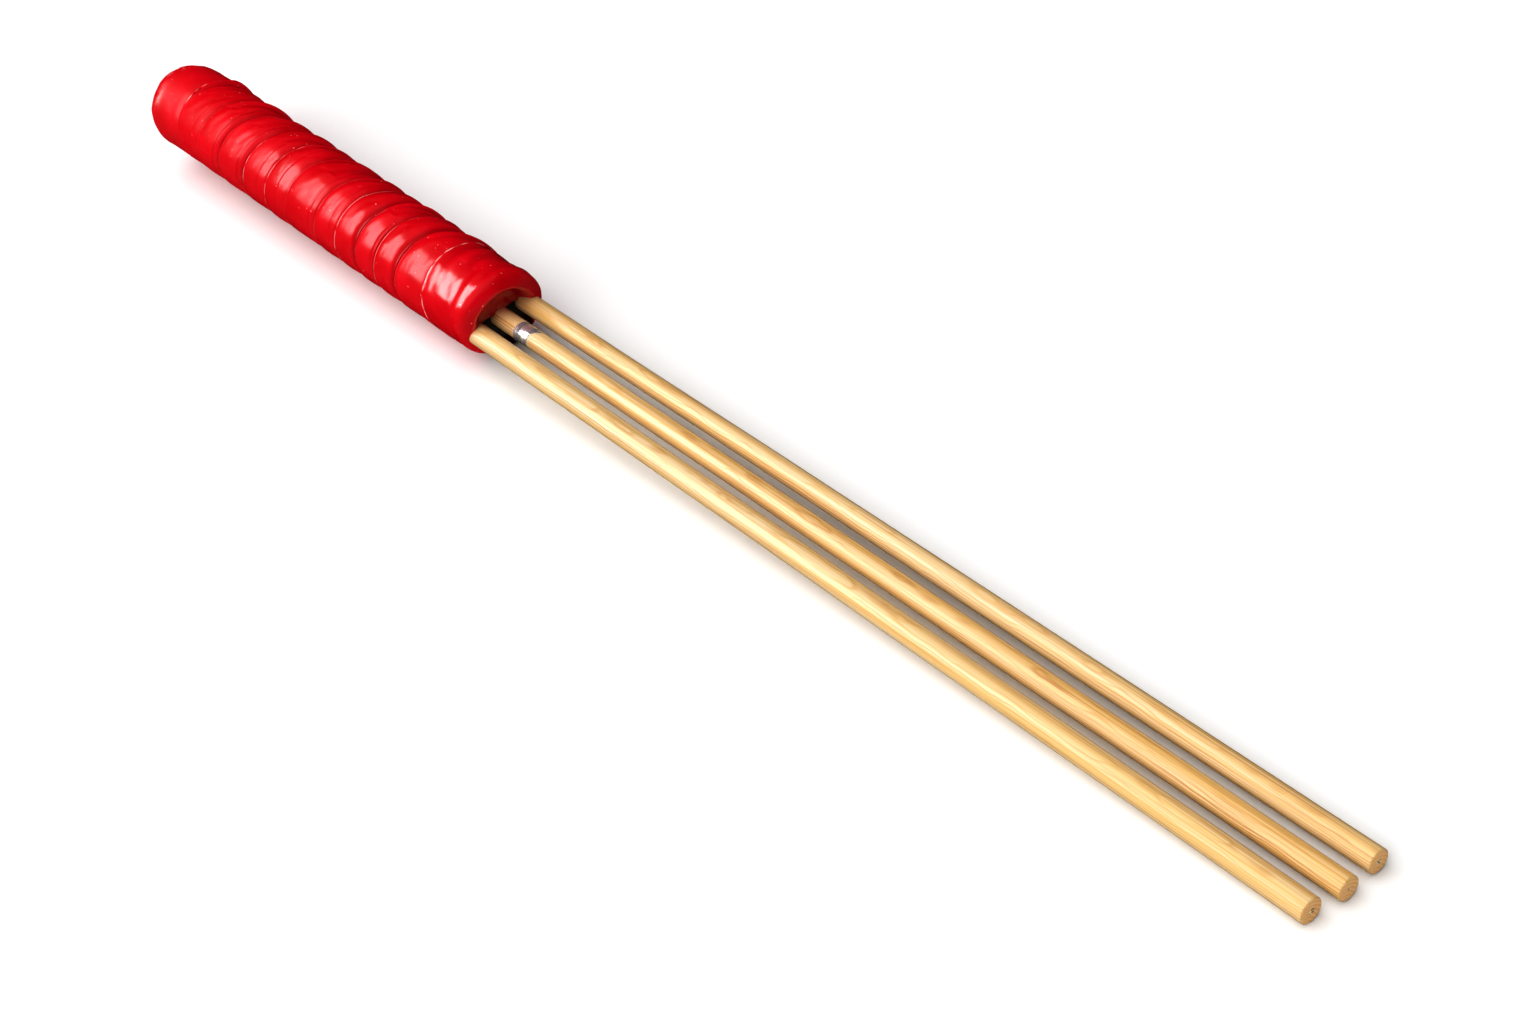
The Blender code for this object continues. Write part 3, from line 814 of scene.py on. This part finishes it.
def end_grain_material(name, centre, seed, pith_size):
    """Sawn end of a rod: growth rings, pores and a small torn pith."""
    n = Nodes(name)
    vector = grain_vector(n, seed, END_WARP, centre - END_HEART)
    rings = ring_lines(n, vector, END_RINGS)
    pores = n.noise(n.place((2600, 2600, 2600)), 1.0, 3.0, 0.7)
    colour = n.ramp(rings, (0.3, END_LIGHT), (0.95, END_DARK))
    colour = n.mix(n.ramp(pores, (0.30, 0.6), (0.48, 0.0)), colour, END_PORE)
    spread = n.add("ShaderNodeVectorMath", operation="DISTANCE")
    n.link(n.place((0, 1, 1)), spread.inputs[0])
    spread.inputs[1].default_value = (0, centre.y, centre.z)
    torn = n.add("ShaderNodeMath", operation="MULTIPLY_ADD")
    n.link(n.noise(n.place((900, 900, 900), (seed, 0, 0)), 1.0, 2.0), torn.inputs[0])
    torn.inputs[1].default_value = -pith_size
    n.link(spread.outputs["Value"], torn.inputs[2])
    scaled = n.add("ShaderNodeMath", operation="MULTIPLY")
    n.link(torn.outputs["Value"], scaled.inputs[0])
    scaled.inputs[1].default_value = 1 / MM
    fibres = n.noise(n.place((2200, 2200, 2200), (seed, 1.0, 2.0)), 1.0, 2.0)
    pith = n.ramp(fibres, (0.46, PITH_DARK), (0.54, PITH_PALE))
    colour = n.mix(n.ramp(scaled.outputs["Value"], (0.05, 0.9), (0.25, 0.0)), colour, pith)
    return n.finish(Base_Color=colour, Roughness=0.6, Normal=n.bump(pores, 0.0001, 0.6))


def foil_material():
    n = Nodes("foil")
    streaks = n.noise(n.place((620, 90, 90)), 1.0, 3.0)
    # The dark blue-grey streaks are painted reflection: they stand in for dark surroundings seen in the
    # crinkles.
    colour = n.ramp(streaks, (0.40, (0.16, 0.19, 0.23)), (0.56, (0.88, 0.90, 0.92)))
    return n.finish(
        Base_Color=colour, Metallic=1.0, Roughness=n.ramp(streaks, (0.3, 0.16), (0.7, 0.34)),
        Normal=n.bump(streaks, 0.00005, 0.5),
    )


def film_material():
    n = Nodes("clear_film")
    specks = n.noise(n.place((400, 400, 400)), 1.0, 2.0)
    return n.finish(
        Base_Color=(0.95, 0.95, 0.93, 1), Roughness=n.ramp(specks, (0.3, 0.08), (0.7, 0.2)), Alpha=0.09,
    )


# Near-black foam: through the collar's slot it stands in for the shade between the rods, as painted shade.
def foam_material():
    n = Nodes("foam")
    cells = n.noise(n.place((1500, 1500, 1500)), 1.0, 3.0)
    colour = n.ramp(cells, (0.35, (0.012, 0.009, 0.008)), (0.65, (0.035, 0.028, 0.025)))
    return n.finish(Base_Color=colour, Roughness=0.9, Normal=n.bump(cells, 0.0003, 0.8))


def binding_material():
    n = Nodes("binding_tape")
    weave = n.noise(n.place((900, 300, 300)), 1.0, 3.0)
    colour = n.ramp(weave, (0.35, (0.55, 0.50, 0.38)), (0.65, (0.78, 0.74, 0.62)))
    return n.finish(Base_Color=colour, Roughness=0.6, Normal=n.bump(weave, 0.0001, 0.6))


# ---------------------------------------------------------------- assembly


def finish_piece(obj, node, slot, *materials):
    obj.data.materials.clear()
    for material in materials:
        obj.data.materials.append(material)
    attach(obj, "root")
    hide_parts(node)


# Roughness and shine of the tape
worn_red = tape_material("worn_red_tape", 0.19, 0.36)
shiny_red = tape_material("shiny_red_tape", 0.13, 0.85)
finish_piece(make_grip_tape(), "grip_tape", "red_tape", worn_red)
finish_piece(make_front_collar(), "front_collar", "red_tape", shiny_red)
finish_piece(make_butt_cap(), "butt_cap", "red_tape", shiny_red)

# A face whose normal has a larger share than this along X is part of a rod's sawn end.
FACES_ALONG_X = 0.9
# Seed, size of the pith in millimetres, light, middle and dark colour, and strength of the lines
WOODS = {
    "rod_front": (1.0, 1.9, (0.80, 0.61, 0.37), (0.76, 0.51, 0.20), (0.50, 0.22, 0.05), 0.85),
    "rod_middle": (5.0, 0.9, (0.80, 0.59, 0.34), (0.75, 0.47, 0.16), (0.44, 0.17, 0.04), 1.0),
    "rod_back": (9.0, 1.6, (0.80, 0.60, 0.36), (0.75, 0.49, 0.18), (0.48, 0.20, 0.05), 0.85),
}
for rod_node, (rod_seed, pith_size, *rod_look) in WOODS.items():
    rod = make_rod(rod_node, rod_seed)
    wood = wood_material(rod_node + "_wood", ROD_LINES[rod_node], rod_seed, *rod_look)
    end_grain = end_grain_material(rod_node + "_end", ROD_LINES[rod_node][1], rod_seed, pith_size * MM)
    finish_piece(rod, rod_node, "wood", wood, end_grain)
    for polygon in rod.data.polygons:
        if abs(polygon.normal.x) > FACES_ALONG_X:
            polygon.material_index = 1

sticker, film = make_foil()
finish_piece(sticker, "foil_band", "foil", foil_material())
film.data.materials.append(film_material())
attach(film, "root")

INNER_MATERIALS = {"foam": foam_material(), "binding": binding_material()}
for subpart in frame["record"]["subparts"]:
    if subpart["material_slot"] in INNER_MATERIALS:
        inner_mesh = frame["nodes"][subpart["node"]].data
        inner_mesh.materials.clear()
        inner_mesh.materials.append(INNER_MATERIALS[subpart["material_slot"]])

# ---------------------------------------------------------------- floor, lights and camera

TIP_X = max(tip.x for _, tip, _ in ROD_LINES.values())
TIP_LOW = min(tip.z - radius for _, tip, radius in ROD_LINES.values())
COLLAR_BOTTOM = AXIS_Z - MOUTH_RADIUS
# The sticks lie tipped forward, on the collar's lower edge and the tips of the rods.
FLOOR_TILT = math.atan2(TIP_LOW - COLLAR_BOTTOM, TIP_X - MOUTH_X)


FLOOR_HALF_SIZE = 30
FLOOR_GAP = 0.2 * MM


def make_floor():
    """A large pale plane just below the sticks, tilted so that they rest on it."""
    bm = bmesh.new()
    bmesh.ops.create_grid(bm, x_segments=1, y_segments=1, size=FLOOR_HALF_SIZE)
    mesh = bpy.data.meshes.new("floor")
    bm.to_mesh(mesh)
    bm.free()
    floor = bpy.data.objects.new("floor", mesh)
    bpy.context.scene.collection.objects.link(floor)
    floor.location = (MOUTH_X, 0, COLLAR_BOTTOM - FLOOR_GAP)
    floor.rotation_euler = (0, -FLOOR_TILT, 0)
    n = Nodes("floor")
    speckle = n.noise(n.place((6, 6, 6)), 1.0, 2.0)
    colour = n.ramp(speckle, (0.3, (0.86, 0.86, 0.86)), (0.7, (0.88, 0.88, 0.88)))
    mesh.materials.append(n.finish(Base_Color=colour, Roughness=0.9, Specular_IOR_Level=0.1))
    floor.visible_glossy = False


def link_light(name, light):
    obj = bpy.data.objects.new(name, light)
    bpy.context.scene.collection.objects.link(obj)
    return obj


WINDOW_DIRECTION = Vector((-0.657, -0.489, 0.52))
WINDOW_ALONG = Vector((0, 0.709, 0.704))
WINDOW_DISTANCE = 2.6
WINDOW_WIDTH, WINDOW_HEIGHT = 2.0, 0.9
WINDOW_POWER = 43
SKY_AZIMUTH, SKY_ELEVATION, SKY_SPREAD = math.radians(244), math.radians(62), math.radians(100)
SKY_STRENGTH = 4.5
WORLD_STRENGTH = 0.06


def add_window():
    """A rectangular softbox, seen only as a reflection. Its direction is from the mouth."""
    light = bpy.data.lights.new("key_window", "AREA")
    light.shape = "RECTANGLE"
    light.size, light.size_y = WINDOW_WIDTH, WINDOW_HEIGHT
    light.energy = WINDOW_POWER
    back = WINDOW_DIRECTION.normalized()
    across = WINDOW_ALONG.normalized()
    across = (across - back * across.dot(back)).normalized()
    facing = Matrix((across, back.cross(across), back)).transposed().to_4x4()
    place = AXIS_AT_MOUTH + back * WINDOW_DISTANCE
    obj = link_light("key_window", light)
    obj.matrix_world = Matrix.Translation(place) @ facing
    obj.visible_diffuse = False


def add_sky():
    """Broad even light from one side and above, for the whole scene. It makes no reflections."""
    light = bpy.data.lights.new("broad_top_light", "SUN")
    light.energy = SKY_STRENGTH
    light.angle = SKY_SPREAD
    level = math.cos(SKY_ELEVATION)
    rise = math.sin(SKY_ELEVATION)
    direction = Vector((math.cos(SKY_AZIMUTH) * level, math.sin(SKY_AZIMUTH) * level, rise))
    obj = link_light("broad_top_light", light)
    obj.rotation_euler = direction.to_track_quat("Z", "Y").to_euler()
    obj.visible_glossy = False


def add_lights():
    add_window()
    add_sky()
    world = bpy.data.worlds.new("studio")
    bpy.context.scene.world = world
    world.use_nodes = True
    background = world.node_tree.nodes["Background"]
    background.inputs["Color"].default_value = (1, 1, 1, 1)
    background.inputs["Strength"].default_value = WORLD_STRENGTH
    world.cycles_visibility.glossy = False


# The camera's place and angles were found by fitting the view to the picture's outlines.
CAMERA_FROM_MOUTH = Vector((0.7017, -0.2875, 0.5368))
CAMERA_YAW, CAMERA_PITCH, CAMERA_ROLL = math.radians(27.25), math.radians(40.31), math.radians(-18.24)
CAMERA_TILT = math.radians(-1.62)
FOCAL_PIXELS = 2434.0
IMAGE_WIDTH = 1536.0
# Below 1 the middle tones are darker, as in a catalogue picture.
CONTRAST = 0.78


def add_camera():
    data = bpy.data.cameras.new("camera")
    data.sensor_width = 36.0
    data.lens = data.sensor_width * FOCAL_PIXELS / IMAGE_WIDTH
    data.clip_start, data.clip_end = 0.05, 50.0
    camera = bpy.data.objects.new("camera", data)
    bpy.context.scene.collection.objects.link(camera)
    level = math.cos(CAMERA_PITCH)
    forward = Vector((-math.cos(CAMERA_YAW) * level, math.sin(CAMERA_YAW) * level, -math.sin(CAMERA_PITCH)))
    right = Vector((math.sin(CAMERA_YAW), math.cos(CAMERA_YAW), 0))
    up = right.cross(forward)
    rolled_right = right * math.cos(CAMERA_ROLL) + up * math.sin(CAMERA_ROLL)
    rolled_up = up * math.cos(CAMERA_ROLL) - right * math.sin(CAMERA_ROLL)
    basis = Matrix((rolled_right, rolled_up, -forward)).transposed().to_4x4()
    tilt = Matrix.Rotation(CAMERA_TILT, 4, "Y")
    place = AXIS_AT_MOUTH + CAMERA_FROM_MOUTH
    camera.matrix_world = Matrix.Translation(place) @ tilt @ basis
    bpy.context.scene.camera = camera


make_floor()
add_lights()
add_camera()
bpy.context.scene.view_settings.view_transform = "Standard"
bpy.context.scene.view_settings.gamma = CONTRAST
